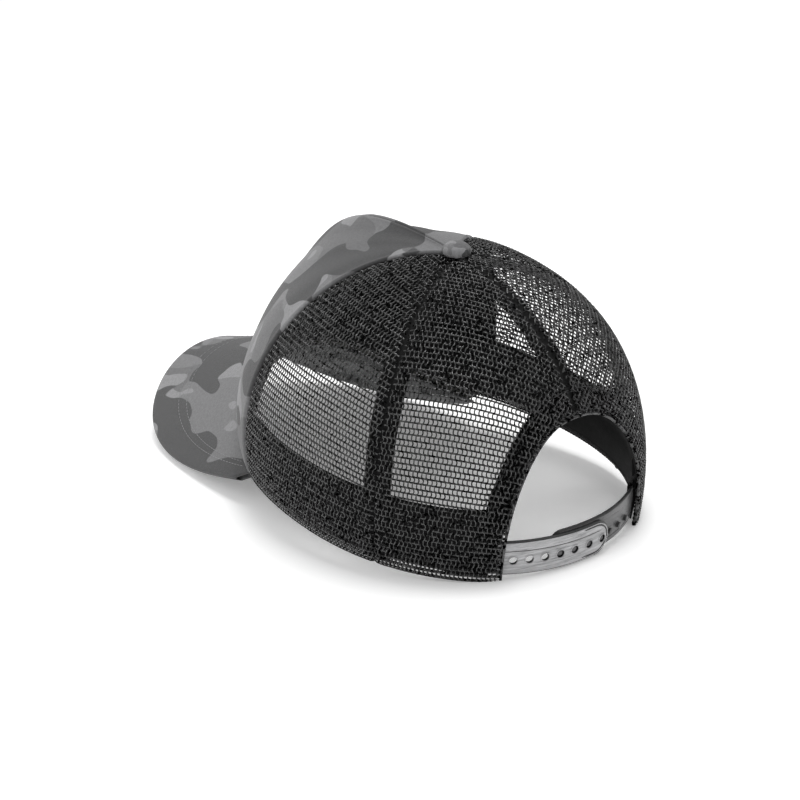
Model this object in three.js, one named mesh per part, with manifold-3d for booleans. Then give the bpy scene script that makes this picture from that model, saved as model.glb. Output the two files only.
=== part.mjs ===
// A five-panel trucker cap: a printed front panel, four mesh panels, a curved visor,
// an inner sweatband, taped seams, a covered button and a two-strap snap closure.
// Millimetres, +Z up, the visor towards -Y, the rear opening towards +Y.
import * as THREE from 'three';
import ManifoldModule from 'manifold-3d';

const wasm = await ManifoldModule();
wasm.setup();

// ---- driving dimensions -------------------------------------------------------------------
const BASE = { front: 111.4, back: 96, side: 77, power: 2.11 };   // half axes of the base oval
const CROWN_HEIGHT = 110;
const BUTTON_Y = 4.5;
const SEAM_FRONT = 62.4;             // degrees from the front centre, front panel to side mesh
const SEAM_FRONT_BOW = 0.9;          // degrees the front seam bows backwards at mid height
const SEAM_SIDE = 114;               // side mesh to back mesh
const CORNER = 151.2;                // where the rear opening meets the base
const OPENING = { halfWidth: 40, height: 64.5, power: 2.3, mmPerDegree: 1.39 };
const PITCH = 7.2;                   // degrees the cap leans back on its rear corners
const PITCH_Y = 76;                  // where the bottom edge meets the ground
const APEX_HOLE = 3.2;               // radius left open at the top for the button's post

// Profile of the crown at six stations: a rational curve pulled towards (reach, rise).
const STATIONS = [
  { angle: 0, reach: 0.832, rise: 1.095, pull: 1.6 },
  { angle: 12, reach: 0.872, rise: 1.05, pull: 1.15 },
  { angle: 30, reach: 1.004, rise: 1.077, pull: 0.726 },
  { angle: 55, reach: 1.271, rise: 1.102, pull: 0.542 },
  { angle: 100, reach: 1.207, rise: 0.963, pull: 0.833 },
  { angle: 180, reach: 1.104, rise: 0.948, pull: 0.841 },
];

// The visor's arch bends to this radius in the middle and straightens out this far to each side.
const VISOR = {
  bend: 41.7, straight: 75.3, slope: 0.357, reach: 79.4, power: 2.76, flare: 1.4, span: 0.98,
};
const VISOR_WING_SLOPE = VISOR.straight / VISOR.bend;
const PANEL = { outer: 0, inner: -1.2 };
const BUCKRAM = { outer: -2.0, inner: -2.7 };
const TAPE = { outer: -1.8, inner: -2.6, width: 13 };
const SWEATBAND = { outer: -3.6, inner: -4.8, bottom: 0.5, height: 32, end: CORNER - 3.8 };
const SEAM_GAP = 0.3;
const BUTTON = { radius: 6.2, height: 4.6, wall: 0.8, post: 1.5 };

const STRAP = { bottom: 2.6, height: 16, hingeOverhang: 1.0, holeZ: 9.6 };
const HOLE_STRAP = { outer: -1.7, inner: -3.3, tail: 2.0, end: 188.4 };
const PEG_STRAP = { outer: -3.9, inner: -5.3, tail: 1.4, end: 166.4, lift: 0.8 };
const HOLES = { first: 154.6, step: 5.15, count: 7, radius: 2.3 };
const PEGS = { first: 3, count: 7, radius: 1.3, height: 1.6 };   // counted from hole 0

// ---- small maths --------------------------------------------------------------------------
const rad = THREE.MathUtils.degToRad;
const mix = THREE.MathUtils.lerp;
const signedPower = (value, power) => Math.sign(value) * Math.abs(value) ** power;
const steps = (from, to, count) => Array.from({ length: count + 1 }, (_, i) => mix(from, to, i / count));

// Smooth curve through the stations, level at the first and the last.
function stationValue(key, degrees) {
  const a = Math.abs(degrees > 180 ? degrees - 360 : degrees);
  const last = STATIONS.length - 1;
  let i = 0;
  while (i < last - 1 && a > STATIONS[i + 1].angle) i += 1;
  const slopeAt = (k) => {
    if (k === 0 || k === last) return 0;
    const [p, q, r] = [STATIONS[k - 1], STATIONS[k], STATIONS[k + 1]];
    const before = (q[key] - p[key]) / (q.angle - p.angle);
    const after = (r[key] - q[key]) / (r.angle - q.angle);
    return (before * (r.angle - q.angle) + after * (q.angle - p.angle)) / (r.angle - p.angle);
  };
  const span = STATIONS[i + 1].angle - STATIONS[i].angle;
  const s = (a - STATIONS[i].angle) / span;
  return STATIONS[i][key] * (1 + 2 * s) * (1 - s) ** 2
    + slopeAt(i) * span * s * (1 - s) ** 2
    + STATIONS[i + 1][key] * s * s * (3 - 2 * s)
    + slopeAt(i + 1) * span * s * s * (s - 1);
}

// ---- the crown surface --------------------------------------------------------------------
function baseXY(degrees) {
  const a = rad(degrees);
  const depth = Math.cos(a) > 0 ? BASE.front : BASE.back;
  return {
    x: BASE.side * signedPower(Math.sin(a), 2 / BASE.power),
    y: -depth * signedPower(Math.cos(a), 2 / BASE.power),
  };
}

const JUNCTION = baseXY(SEAM_FRONT);

// Height of the visor's curved sheet, which the front of the base edge also follows.
function sheetHeight(x, y) {
  const arch = (across) => -VISOR_WING_SLOPE * Math.hypot(across, VISOR.straight);
  return arch(x) - arch(JUNCTION.x) - VISOR.slope * (JUNCTION.y - y);
}

function baseEdge(degrees) {
  const { x, y } = baseXY(degrees);
  const z = Math.abs(degrees) < SEAM_FRONT ? sheetHeight(x, y) : 0;
  return new THREE.Vector3(x, y, z);
}

// A point on the crown: degrees round from the front, rise from 0 at the edge to 1 at the top.
function crownPoint(degrees, rise) {
  const edge = baseEdge(degrees);
  const pull = stationValue('pull', degrees);
  const [a, b, c] = [(1 - rise) ** 2, 2 * rise * (1 - rise) * pull, rise * rise];
  const reach = (a + b * stationValue('reach', degrees)) / (a + b + c);
  const lift = (b * stationValue('rise', degrees) + c) / (a + b + c);
  return new THREE.Vector3(
    edge.x * reach,
    mix(BUTTON_Y, edge.y, reach),
    mix(edge.z, CROWN_HEIGHT, lift),
  );
}

function crownNormal(degrees, rise) {
  const [da, dr] = [0.5, 0.004];
  const round = crownPoint(degrees + da, rise).sub(crownPoint(degrees - da, rise));
  const up = crownPoint(degrees, Math.min(rise + dr, 1)).sub(crownPoint(degrees, Math.max(rise - dr, 0)));
  return round.cross(up).normalize();
}

function crownAt(degrees, rise, offset) {
  return crownPoint(degrees, rise).addScaledVector(crownNormal(degrees, rise), offset);
}

const mmPerDegreeAt = (degrees, rise) =>
  crownPoint(degrees + 0.5, rise).distanceTo(crownPoint(degrees - 0.5, rise));

// The rise at which the test first passes, going up one meridian.
function riseWhere(degrees, test) {
  let [low, high] = [0, 1];
  for (let i = 0; i < 30; i += 1) {
    const middle = (low + high) / 2;
    if (test(crownPoint(degrees, middle))) high = middle;
    else low = middle;
  }
  return high;
}

const riseAtHeight = (degrees, height) => {
  const edge = baseEdge(degrees).z;
  return riseWhere(degrees, (point) => point.z - edge >= height);
};

const riseAtRadius = (degrees, radius) =>
  riseWhere(degrees, (point) => Math.hypot(point.x, point.y - BUTTON_Y) <= radius);

const frontSeam = (rise) => SEAM_FRONT + SEAM_FRONT_BOW * Math.sin(Math.PI * rise);

// ---- solids -------------------------------------------------------------------------------
function geometryFrom(points, triangles) {
  const signedVolume = triangles.reduce((sum, [a, b, c]) =>
    sum + points[a].dot(new THREE.Vector3().crossVectors(points[b], points[c])), 0);
  const outward = signedVolume > 0 ? triangles : triangles.map(([a, b, c]) => [a, c, b]);
  const geometry = new THREE.BufferGeometry();
  geometry.setAttribute('position', new THREE.Float32BufferAttribute(points.flatMap((p) => [p.x, p.y, p.z]), 3));
  geometry.setIndex(outward.flat());
  return geometry;
}

// One closed solid between an outer and an inner sheet of points, each rows by columns.
function shellSolid(outer, inner) {
  const [rows, columns] = [outer.length, outer[0].length];
  const points = [...outer.flat(), ...inner.flat()];
  const out = (r, c) => r * columns + c;
  const inn = (r, c) => rows * columns + r * columns + c;
  const triangles = [];
  const quad = (a, b, c, d) => triangles.push([a, b, c], [a, c, d]);
  for (let r = 0; r < rows - 1; r += 1) {
    for (let c = 0; c < columns - 1; c += 1) {
      quad(out(r, c), out(r, c + 1), out(r + 1, c + 1), out(r + 1, c));
      quad(inn(r + 1, c), inn(r + 1, c + 1), inn(r, c + 1), inn(r, c));
    }
    quad(out(r + 1, 0), inn(r + 1, 0), inn(r, 0), out(r, 0));
    quad(out(r, columns - 1), inn(r, columns - 1), inn(r + 1, columns - 1), out(r + 1, columns - 1));
  }
  for (let c = 0; c < columns - 1; c += 1) {
    quad(inn(0, c), inn(0, c + 1), out(0, c + 1), out(0, c));
    quad(out(rows - 1, c), out(rows - 1, c + 1), inn(rows - 1, c + 1), inn(rows - 1, c));
  }
  return geometryFrom(points, triangles);
}

// A layer of cloth over a grid of crown places, between two distances from the outer surface.
function crownLayer(places, layer) {
  const sheet = (offset) => places.map((row) => row.map(([degrees, rise]) => crownAt(degrees, rise, offset)));
  return shellSolid(sheet(layer.outer), sheet(layer.inner));
}

function toManifold(geometry) {
  const mesh = new wasm.Mesh({
    numProp: 3,
    vertProperties: new Float32Array(geometry.getAttribute('position').array),
    triVerts: new Uint32Array(geometry.getIndex().array),
  });
  mesh.merge();
  return new wasm.Manifold(mesh);
}

function fromManifold(solid) {
  const mesh = solid.getMesh();
  const geometry = new THREE.BufferGeometry();
  geometry.setAttribute('position', new THREE.Float32BufferAttribute(mesh.vertProperties, 3));
  geometry.setIndex([...mesh.triVerts]);
  return geometry;
}

// A round bar along the crown's normal, for cutting a hole or adding a peg.
function normalBar(degrees, height, radius, from, to) {
  const rise = riseAtHeight(degrees, height);
  const [start, end] = [crownAt(degrees, rise, from), crownAt(degrees, rise, to)];
  const bar = new THREE.CylinderGeometry(radius, radius, start.distanceTo(end), 12);
  const turn = new THREE.Quaternion().setFromUnitVectors(
    new THREE.Vector3(0, 1, 0),
    end.clone().sub(start).normalize(),
  );
  bar.applyQuaternion(turn);
  const middle = start.lerp(end, 0.5);
  bar.translate(middle.x, middle.y, middle.z);
  return toManifold(bar);
}

// ---- panels -------------------------------------------------------------------------------
// A panel between two seams. Each seam is a function of rise, side is +1 left or -1 right.
function panelPlaces(side, seamA, seamB, lowEdge, rows, columns) {
  const topRise = (degrees) => riseAtRadius(degrees, APEX_HOLE);
  return steps(0, 1, rows).map((v) => steps(0, 1, columns).map((u) => {
    const low = lowEdge(u);
    const topA = seamA(1);
    const topB = seamB(1);
    const topDegrees = mix(topA, topB, u);
    const rise = mix(low.rise, topRise(topDegrees), v);
    const bowed = mix(seamA(rise) - topA, seamB(rise) - topB, u);
    const plain = mix(low.degrees, topDegrees, v) + bowed;
    const inset = (SEAM_GAP / 2 / mmPerDegreeAt(plain, rise)) * (1 - 2 * u);
    return [side * (plain + inset), rise];
  }));
}

function sideMesh(side) {
  const low = (u) => ({ degrees: mix(SEAM_FRONT, SEAM_SIDE, u), rise: 0 });
  return crownLayer(panelPlaces(side, frontSeam, () => SEAM_SIDE, low, 13, 8), PANEL);
}

function frontPanel() {
  const low = (u) => ({ degrees: mix(-SEAM_FRONT, SEAM_FRONT, u), rise: 0 });
  const leftSeam = (rise) => -frontSeam(rise);
  return crownLayer(panelPlaces(1, leftSeam, frontSeam, low, 22, 20), PANEL);
}

// The arched edge of the rear opening, from the base at 0 to its top at 1.
function openingEdge(along, grow = 0) {
  const a = (Math.PI / 2) * along;
  const across = OPENING.halfWidth * signedPower(Math.cos(a), 2 / OPENING.power);
  const height = OPENING.height * signedPower(Math.sin(a), 2 / OPENING.power);
  const outward = new THREE.Vector2(Math.cos(a) / OPENING.halfWidth, Math.sin(a) / OPENING.height)
    .normalize().multiplyScalar(grow);
  const degrees = 180 - (across + outward.x) / OPENING.mmPerDegree;
  return { degrees, rise: riseAtHeight(degrees, height + outward.y) };
}

function backMesh(side) {
  const baseShare = 0.4;
  const corner = openingEdge(0).degrees;
  const low = (u) => (u <= baseShare
    ? { degrees: mix(SEAM_SIDE, corner, u / baseShare), rise: 0 }
    : openingEdge((u - baseShare) / (1 - baseShare)));
  return crownLayer(panelPlaces(side, () => SEAM_SIDE, () => 180, low, 10, 15), PANEL);
}

// ---- inner layers -------------------------------------------------------------------------
function strip(centre, lowRise, highRise, width, rows, columns) {
  return steps(lowRise, highRise, rows).map((rise) => {
    const half = width / 2 / mmPerDegreeAt(centre(rise), rise);
    return steps(-half, half, columns).map((d) => [centre(rise) + d, rise]);
  });
}

function seamTape(centre, lowHeight) {
  const low = riseAtHeight(centre(0), lowHeight);
  const high = riseAtRadius(centre(1), TAPE.width * 1.08);
  return crownLayer(strip(centre, low, high, TAPE.width, 13, 2), TAPE);
}

function frontBuckram() {
  const rows = steps(riseAtHeight(0, 1), riseAtRadius(0, TAPE.width * 1.08), 18);
  const places = rows.map((rise) => {
    const margin = (TAPE.width / 2 + 0.5) / mmPerDegreeAt(SEAM_FRONT, rise);
    const half = frontSeam(rise) - margin;
    return steps(-half, half, 16).map((degrees) => [degrees, rise]);
  });
  return crownLayer(places, BUCKRAM);
}

function sweatband() {
  const places = steps(SWEATBAND.bottom, SWEATBAND.height, 3).map((height) =>
    steps(-SWEATBAND.end, SWEATBAND.end, 40).map((degrees) => [degrees, riseAtHeight(degrees, height)]));
  return crownLayer(places, SWEATBAND);
}

function openingTape() {
  const ends = 0.17;
  const places = [0.4, 11].map((grow) => [
    ...steps(ends, 1, 11).map((along) => openingEdge(along, grow)),
    ...steps(1, ends, 11).slice(1).map((along) => {
      const { degrees, rise } = openingEdge(along, grow);
      return { degrees: 360 - degrees, rise };
    }),
  ].map(({ degrees, rise }) => [degrees, rise]));
  return crownLayer(places, TAPE);
}

// ---- button -------------------------------------------------------------------------------
function lathe(profile, z) {
  const geometry = new THREE.LatheGeometry(profile.map(([r, h]) => new THREE.Vector2(r, h)), 16);
  geometry.rotateX(Math.PI / 2);
  geometry.translate(0, BUTTON_Y, z);
  return fromManifold(toManifold(withIndex(geometry)));
}

function withIndex(geometry) {
  if (!geometry.getIndex()) {
    geometry.setIndex([...Array(geometry.getAttribute('position').count).keys()]);
  }
  return geometry;
}

const dome = (radius, height, count) => steps(0, 1, count).map((s) =>
  [radius * Math.cos((s * Math.PI) / 2), height * Math.sin((s * Math.PI) / 2)]);

function buttonCover() {
  const outer = dome(BUTTON.radius, BUTTON.height, 5);
  const inner = dome(BUTTON.radius - BUTTON.wall, BUTTON.height - BUTTON.wall, 5).reverse();
  outer[outer.length - 1][0] = 0;
  inner[0][0] = 0;
  return lathe([...inner, ...outer], CROWN_HEIGHT + 0.4);
}

function buttonShell() {
  const margin = BUTTON.wall + SEAM_GAP;
  const cap = dome(BUTTON.radius - margin, BUTTON.height - margin, 4);
  cap[cap.length - 1][0] = 0;
  return lathe([[0, -5], [BUTTON.post, -5], [BUTTON.post, 0], ...cap], CROWN_HEIGHT + 0.4);
}

function buttonRivet() {
  const [hole, rim] = [BUTTON.post + SEAM_GAP, 6];
  return lathe([[hole, 0], [rim, 0], [rim, 0.8], [hole, 0.8], [hole, 0]], CROWN_HEIGHT - 4.0);
}

// ---- visor --------------------------------------------------------------------------------
// A point of the visor: across from -1 to 1, out from 0 at the crown to 1 at the rim.
function visorPoint(across, out, drop) {
  const root = baseXY(across * SEAM_FRONT);
  const a = (across * Math.PI) / 2;
  const rimX = (JUNCTION.x + VISOR.flare) * signedPower(Math.sin(a), 2 / VISOR.power);
  const rimReach = BASE.front + VISOR.reach + JUNCTION.y;
  const rimY = JUNCTION.y - rimReach * signedPower(Math.cos(a), 2 / VISOR.power);
  const x = mix(root.x, rimX, out);
  const y = mix(root.y, rimY, out);
  const fall = VISOR_WING_SLOPE * x / Math.hypot(x, VISOR.straight);
  const normal = new THREE.Vector3(fall, -VISOR.slope, 1).normalize();
  return new THREE.Vector3(x, y, sheetHeight(x, y)).addScaledVector(normal, -drop);
}

function visorSheet(inset, drop, span) {
  return steps(0, 1, 4).map((v) => steps(-span, span, 22).map((across) => {
    const length = visorPoint(across, 0, 0).distanceTo(visorPoint(across, 1, 0));
    return visorPoint(across, v * (1 - inset / length), drop);
  }));
}

function visorTop() {
  const outer = visorSheet(0, 0.5, VISOR.span);
  const inner = visorSheet(1, 1.3, VISOR.span);
  outer.push(visorSheet(0, 4.7, VISOR.span).at(-1));
  inner.push(visorSheet(1, 4.7, VISOR.span).at(-1));
  return shellSolid(outer, inner);
}

const visorBoard = () => shellSolid(visorSheet(2, 1.7, 0.96), visorSheet(2, 3.5, 0.96));
const visorUnder = () => shellSolid(visorSheet(2, 3.9, 0.96), visorSheet(2, 4.7, 0.96));

// ---- snap closure -------------------------------------------------------------------------
// A flat strip bent round the back of the base oval, with a rounded free end.
function strapSolid(from, to, layer, lift = 0) {
  const columns = steps(from, to, 20);
  const [middle, half] = [STRAP.bottom + lift + STRAP.height / 2, STRAP.height / 2];
  const round = half * 0.75;
  const places = columns.map((degrees) => {
    const left = Math.abs(to - degrees) * OPENING.mmPerDegree;
    const s = Math.min(1, left / round);
    const tall = half * (0.35 + 0.65 * Math.sqrt(1 - (1 - s) ** 2));
    return [-1, 0, 1].map((k) => [degrees, riseAtHeight(degrees, middle + k * tall)]);
  });
  return toManifold(crownLayer(places, layer));
}

const holeAngle = (index) => HOLES.first + HOLES.step * index;

function holeStrap() {
  const start = openingEdge(0).degrees - HOLE_STRAP.tail / OPENING.mmPerDegree;
  let strap = strapSolid(start, HOLE_STRAP.end, HOLE_STRAP);
  for (let i = 0; i < HOLES.count; i += 1) {
    strap = strap.subtract(normalBar(holeAngle(i), STRAP.holeZ, HOLES.radius, 1, -6));
  }
  return fromManifold(strap);
}

function pegStrap() {
  const start = 360 - openingEdge(0).degrees + PEG_STRAP.tail / OPENING.mmPerDegree;
  let strap = strapSolid(start, PEG_STRAP.end, PEG_STRAP, PEG_STRAP.lift);
  for (let i = PEGS.first; i < PEGS.first + PEGS.count; i += 1) {
    const top = PEG_STRAP.outer + PEGS.height;
    strap = strap.add(normalBar(holeAngle(i), STRAP.holeZ, PEGS.radius, PEG_STRAP.outer - 0.6, top));
  }
  return fromManifold(strap);
}

// ---- care label ---------------------------------------------------------------------------
function careLabel() {
  const layer = { outer: -5.2, inner: -5.7 };
  const places = [6, 18, 30].map((height) =>
    steps(122, 104, 3).map((degrees) => [degrees, riseAtHeight(degrees, height)]));
  return crownLayer(places, layer);
}

// ---- assembly -----------------------------------------------------------------------------
const MATERIALS = {
  camo_fabric: { color: 0x7c7e80, roughness: 0.9, metalness: 0 },
  buckram: { color: 0x1c1d1e, roughness: 0.95, metalness: 0 },
  black_mesh: { color: 0x17181a, roughness: 0.5, metalness: 0 },
  black_tape: { color: 0x1b1b1c, roughness: 0.85, metalness: 0 },
  black_cotton: { color: 0x151617, roughness: 0.95, metalness: 0 },
  visor_board: { color: 0x5c5c5a, roughness: 0.6, metalness: 0 },
  strap_plastic: { color: 0x2b2d30, roughness: 0.35, metalness: 0 },
  plated_steel: { color: 0x9b9c9c, roughness: 0.4, metalness: 1 },
  white_satin: { color: 0xe6e5e0, roughness: 0.6, metalness: 0 },
};

function piece(name, slot, geometry) {
  const material = new THREE.MeshStandardMaterial(MATERIALS[slot]);
  material.name = slot;
  const mesh = new THREE.Mesh(geometry, material);
  mesh.name = name;
  return mesh;
}

// Leans the cap back onto its rear corners.
function lean(geometry) {
  geometry.translate(0, -PITCH_Y, 0);
  geometry.rotateX(rad(-PITCH));
  geometry.translate(0, PITCH_Y, 0);
}

// Flattens the little of a rear corner's edge that would sink into the ground.
function flattenFoot(geometry) {
  const position = geometry.getAttribute('position');
  for (let i = 0; i < position.count; i += 1) {
    position.setZ(i, Math.max(position.getZ(i), 0));
  }
}

const cap = new THREE.Group();
cap.name = 'trucker_mesh_cap';
cap.add(piece('front_panel', 'camo_fabric', frontPanel()));
cap.add(piece('front_buckram', 'buckram', frontBuckram()));
for (const [side, word] of [[1, 'left'], [-1, 'right']]) {
  cap.add(piece(`side_mesh_${word}`, 'black_mesh', sideMesh(side)));
  cap.add(piece(`back_mesh_${word}`, 'black_mesh', backMesh(side)));
  cap.add(piece(`front_seam_tape_${word}`, 'black_tape', seamTape((rise) => side * frontSeam(rise), 1)));
  cap.add(piece(`side_seam_tape_${word}`, 'black_tape', seamTape(() => side * SEAM_SIDE, 1)));
}
cap.add(piece('centre_back_tape', 'black_tape', seamTape(() => 180, OPENING.height + 12)));
cap.add(piece('opening_tape', 'black_tape', openingTape()));
cap.add(piece('sweatband', 'black_cotton', sweatband()));
cap.add(piece('care_label', 'white_satin', careLabel()));
cap.add(piece('button_cover', 'camo_fabric', buttonCover()));
cap.add(piece('button_shell', 'plated_steel', buttonShell()));
cap.add(piece('button_rivet', 'plated_steel', buttonRivet()));
cap.add(piece('visor_top_fabric', 'camo_fabric', visorTop()));
cap.add(piece('visor_board', 'visor_board', visorBoard()));
cap.add(piece('visor_under_fabric', 'camo_fabric', visorUnder()));
cap.add(piece('hole_strap', 'strap_plastic', holeStrap()));
cap.add(piece('peg_strap', 'strap_plastic', pegStrap()));

cap.children.forEach((mesh) => lean(mesh.geometry));
for (const word of ['left', 'right']) {
  flattenFoot(cap.getObjectByName(`back_mesh_${word}`).geometry);
}
const box = new THREE.Box3().setFromObject(cap);
const middle = box.getCenter(new THREE.Vector3());
cap.children.forEach((mesh) => mesh.geometry.translate(-middle.x, -middle.y, -box.min.z));

export default cap;
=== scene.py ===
"""Looks of a five-panel trucker cap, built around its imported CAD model.

Shapes are worked out in millimetres on a level cap, as the CAD model does, and then leaned back
onto the rear corners and turned into metres. Angles go round from the front centre: 0 is the
visor, 90 the wearer's left, 180 the rear opening.
"""

import math

import bmesh
import bpy
import numpy as np
from mathutils import Matrix, Vector, noise


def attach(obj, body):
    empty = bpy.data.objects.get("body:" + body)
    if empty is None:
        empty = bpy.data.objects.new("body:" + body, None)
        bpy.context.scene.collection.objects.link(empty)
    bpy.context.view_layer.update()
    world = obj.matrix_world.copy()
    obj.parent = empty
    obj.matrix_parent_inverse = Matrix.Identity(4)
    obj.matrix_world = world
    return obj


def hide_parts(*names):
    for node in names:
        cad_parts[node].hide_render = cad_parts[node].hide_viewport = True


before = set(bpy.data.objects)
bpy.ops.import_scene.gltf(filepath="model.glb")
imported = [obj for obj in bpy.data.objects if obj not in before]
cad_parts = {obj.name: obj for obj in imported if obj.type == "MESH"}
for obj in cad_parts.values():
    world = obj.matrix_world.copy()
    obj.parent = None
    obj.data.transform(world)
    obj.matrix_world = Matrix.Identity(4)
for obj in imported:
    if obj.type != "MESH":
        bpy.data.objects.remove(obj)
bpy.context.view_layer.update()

# ---- the crown's surface, as in the CAD model -----------------------------------------------
BASE_FRONT, BASE_BACK, BASE_SIDE, BASE_POWER = 111.4, 96.0, 77.0, 2.11
CROWN_HEIGHT = 110.0
BUTTON_Y = 4.5
SEAM_FRONT = 62.4
SEAM_FRONT_BOW = 0.9
SEAM_SIDE = 114.0
OPENING_HALF_WIDTH, OPENING_HEIGHT, OPENING_POWER = 40.0, 64.5, 2.3
MM_PER_DEGREE = 1.39
CORNER = 180.0 - OPENING_HALF_WIDTH / MM_PER_DEGREE
PITCH, PITCH_Y, SHIFT_Y = 7.2, 76.0, 45.867
APEX_HOLE = 3.2
STATION_ANGLE = np.array([0.0, 12.0, 30.0, 55.0, 100.0, 180.0])
STATION_REACH = np.array([0.832, 0.872, 1.004, 1.271, 1.207, 1.104])
STATION_RISE = np.array([1.095, 1.05, 1.077, 1.102, 0.963, 0.948])
STATION_PULL = np.array([1.6, 1.15, 0.726, 0.542, 0.833, 0.841])
VISOR_BEND, VISOR_STRAIGHT = 41.7, 75.3   # bend radius in the middle, straightening out this far off
VISOR_WING_SLOPE = VISOR_STRAIGHT / VISOR_BEND
VISOR_SLOPE, VISOR_REACH, VISOR_POWER, VISOR_FLARE, VISOR_SPAN = 0.357, 79.4, 2.76, 1.4, 0.98

MM = 0.001


def signed_power(value, power):
    return np.sign(value) * np.abs(value) ** power


def smoothstep(low, high, value):
    s = np.clip((value - low) / (high - low), 0.0, 1.0)
    return s * s * (3.0 - 2.0 * s)


def station_slopes(values):
    """Slopes of the smooth curve through the stations, level at both ends."""
    steps = np.diff(values) / np.diff(STATION_ANGLE)
    gaps = np.diff(STATION_ANGLE)
    inner = (steps[:-1] * gaps[1:] + steps[1:] * gaps[:-1]) / (gaps[:-1] + gaps[1:])
    return np.concatenate([[0.0], inner, [0.0]])


def station_value(values, degrees):
    slopes = station_slopes(values)
    folded = np.abs(np.where(degrees > 180.0, degrees - 360.0, degrees))
    i = np.clip(np.searchsorted(STATION_ANGLE, folded, side="right") - 1, 0, len(values) - 2)
    gap = STATION_ANGLE[i + 1] - STATION_ANGLE[i]
    s = (folded - STATION_ANGLE[i]) / gap
    return (
        values[i] * (1 + 2 * s) * (1 - s) ** 2
        + slopes[i] * gap * s * (1 - s) ** 2
        + values[i + 1] * s * s * (3 - 2 * s)
        + slopes[i + 1] * gap * s * s * (s - 1)
    )


def base_xy(degrees):
    a = np.radians(degrees)
    depth = np.where(np.cos(a) > 0, BASE_FRONT, BASE_BACK)
    x = BASE_SIDE * signed_power(np.sin(a), 2 / BASE_POWER)
    y = -depth * signed_power(np.cos(a), 2 / BASE_POWER)
    return x, y


JUNCTION_X, JUNCTION_Y = (float(v) for v in base_xy(np.array(SEAM_FRONT)))


def sheet_height(x, y):
    """Height of the visor's curved sheet, which the front of the base edge also follows."""
    arch = math.hypot(JUNCTION_X, VISOR_STRAIGHT) - np.hypot(x, VISOR_STRAIGHT)
    return VISOR_WING_SLOPE * arch - VISOR_SLOPE * (JUNCTION_Y - y)


def crown_point(degrees, rise):
    """Points of the crown's outer surface; rise goes from 0 at the base edge to 1 at the top."""
    degrees, rise = np.broadcast_arrays(np.asarray(degrees, float), np.asarray(rise, float))
    x, y = base_xy(degrees)
    z = np.where(np.abs(degrees) < SEAM_FRONT, sheet_height(x, y), 0.0)
    a = (1 - rise) ** 2
    b = 2 * rise * (1 - rise) * station_value(STATION_PULL, degrees)
    c = rise**2
    reach = (a + b * station_value(STATION_REACH, degrees)) / (a + b + c)
    lift = (b * station_value(STATION_RISE, degrees) + c) / (a + b + c)
    return np.stack([x * reach, BUTTON_Y + (y - BUTTON_Y) * reach, z + (CROWN_HEIGHT - z) * lift], -1)


def crown_normal(degrees, rise):
    degrees, rise = np.broadcast_arrays(np.asarray(degrees, float), np.asarray(rise, float))
    da, dr = 0.5, 0.004
    round_way = crown_point(degrees + da, rise) - crown_point(degrees - da, rise)
    up_way = crown_point(degrees, np.minimum(rise + dr, 1)) - crown_point(degrees, np.maximum(rise - dr, 0))
    return unit(np.cross(round_way, up_way))


def unit(vectors):
    return vectors / np.maximum(np.linalg.norm(vectors, axis=-1, keepdims=True), 1e-12)


def crown_at(degrees, rise, offset):
    return crown_point(degrees, rise) + crown_normal(degrees, rise) * np.asarray(offset, float)[..., None]


def mm_per_degree(degrees, rise):
    return np.linalg.norm(crown_point(degrees + 0.5, rise) - crown_point(degrees - 0.5, rise), axis=-1)


def rise_where(degrees, passed):
    """The rise at which passed(points) first holds, going up each meridian."""
    degrees = np.asarray(degrees, float)
    low, high = np.zeros_like(degrees), np.ones_like(degrees)
    for _ in range(30):
        middle = (low + high) / 2
        hit = passed(crown_point(degrees, middle))
        high, low = np.where(hit, middle, high), np.where(hit, low, middle)
    return high


def rise_at_height(degrees, height):
    degrees, height = np.broadcast_arrays(np.asarray(degrees, float), np.asarray(height, float))
    edge = crown_point(degrees, 0.0)[..., 2]
    return rise_where(degrees, lambda p: p[..., 2] - edge >= height)


def rise_at_radius(degrees, radius):
    return rise_where(degrees, lambda p: np.hypot(p[..., 0], p[..., 1] - BUTTON_Y) <= radius)


def front_seam(rise):
    return SEAM_FRONT + SEAM_FRONT_BOW * np.sin(np.pi * np.asarray(rise, float))


def side_seam(rise):
    return SEAM_SIDE + 0 * np.asarray(rise)


def back_seam(rise):
    return 180.0 + 0 * np.asarray(rise)


def settled(points):
    """Level millimetres to leaned metres."""
    points = np.asarray(points, float)
    lean = math.radians(PITCH)
    y, z = points[..., 1] - PITCH_Y, points[..., 2]
    leaned_y = y * math.cos(lean) + z * math.sin(lean) + PITCH_Y + SHIFT_Y
    leaned_z = -y * math.sin(lean) + z * math.cos(lean)
    return np.stack([points[..., 0], leaned_y, leaned_z], -1) * MM


# ---- meshes ---------------------------------------------------------------------------------
def make_mesh(name, points, faces, smooth=True):
    """An object from level millimetre points and faces, its normals turned outwards."""
    mesh = bpy.data.meshes.new(name)
    mesh.from_pydata(settled(points).tolist(), [], [list(map(int, f)) for f in faces])
    mesh.validate()
    shape = bmesh.new()
    shape.from_mesh(mesh)
    bmesh.ops.recalc_face_normals(shape, faces=shape.faces)
    shape.to_mesh(mesh)
    shape.free()
    mesh.polygons.foreach_set("use_smooth", [smooth] * len(mesh.polygons))
    obj = bpy.data.objects.new(name, mesh)
    bpy.context.collection.objects.link(obj)
    return obj


def grid_faces(rows, columns, start=0, closed=False):
    r, c = np.meshgrid(np.arange(rows - 1), np.arange(columns if closed else columns - 1), indexing="ij")
    nxt = (c + 1) % columns
    corners = [r * columns + c, r * columns + nxt, (r + 1) * columns + nxt, (r + 1) * columns + c]
    return np.stack([k.ravel() + start for k in corners], -1)


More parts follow.
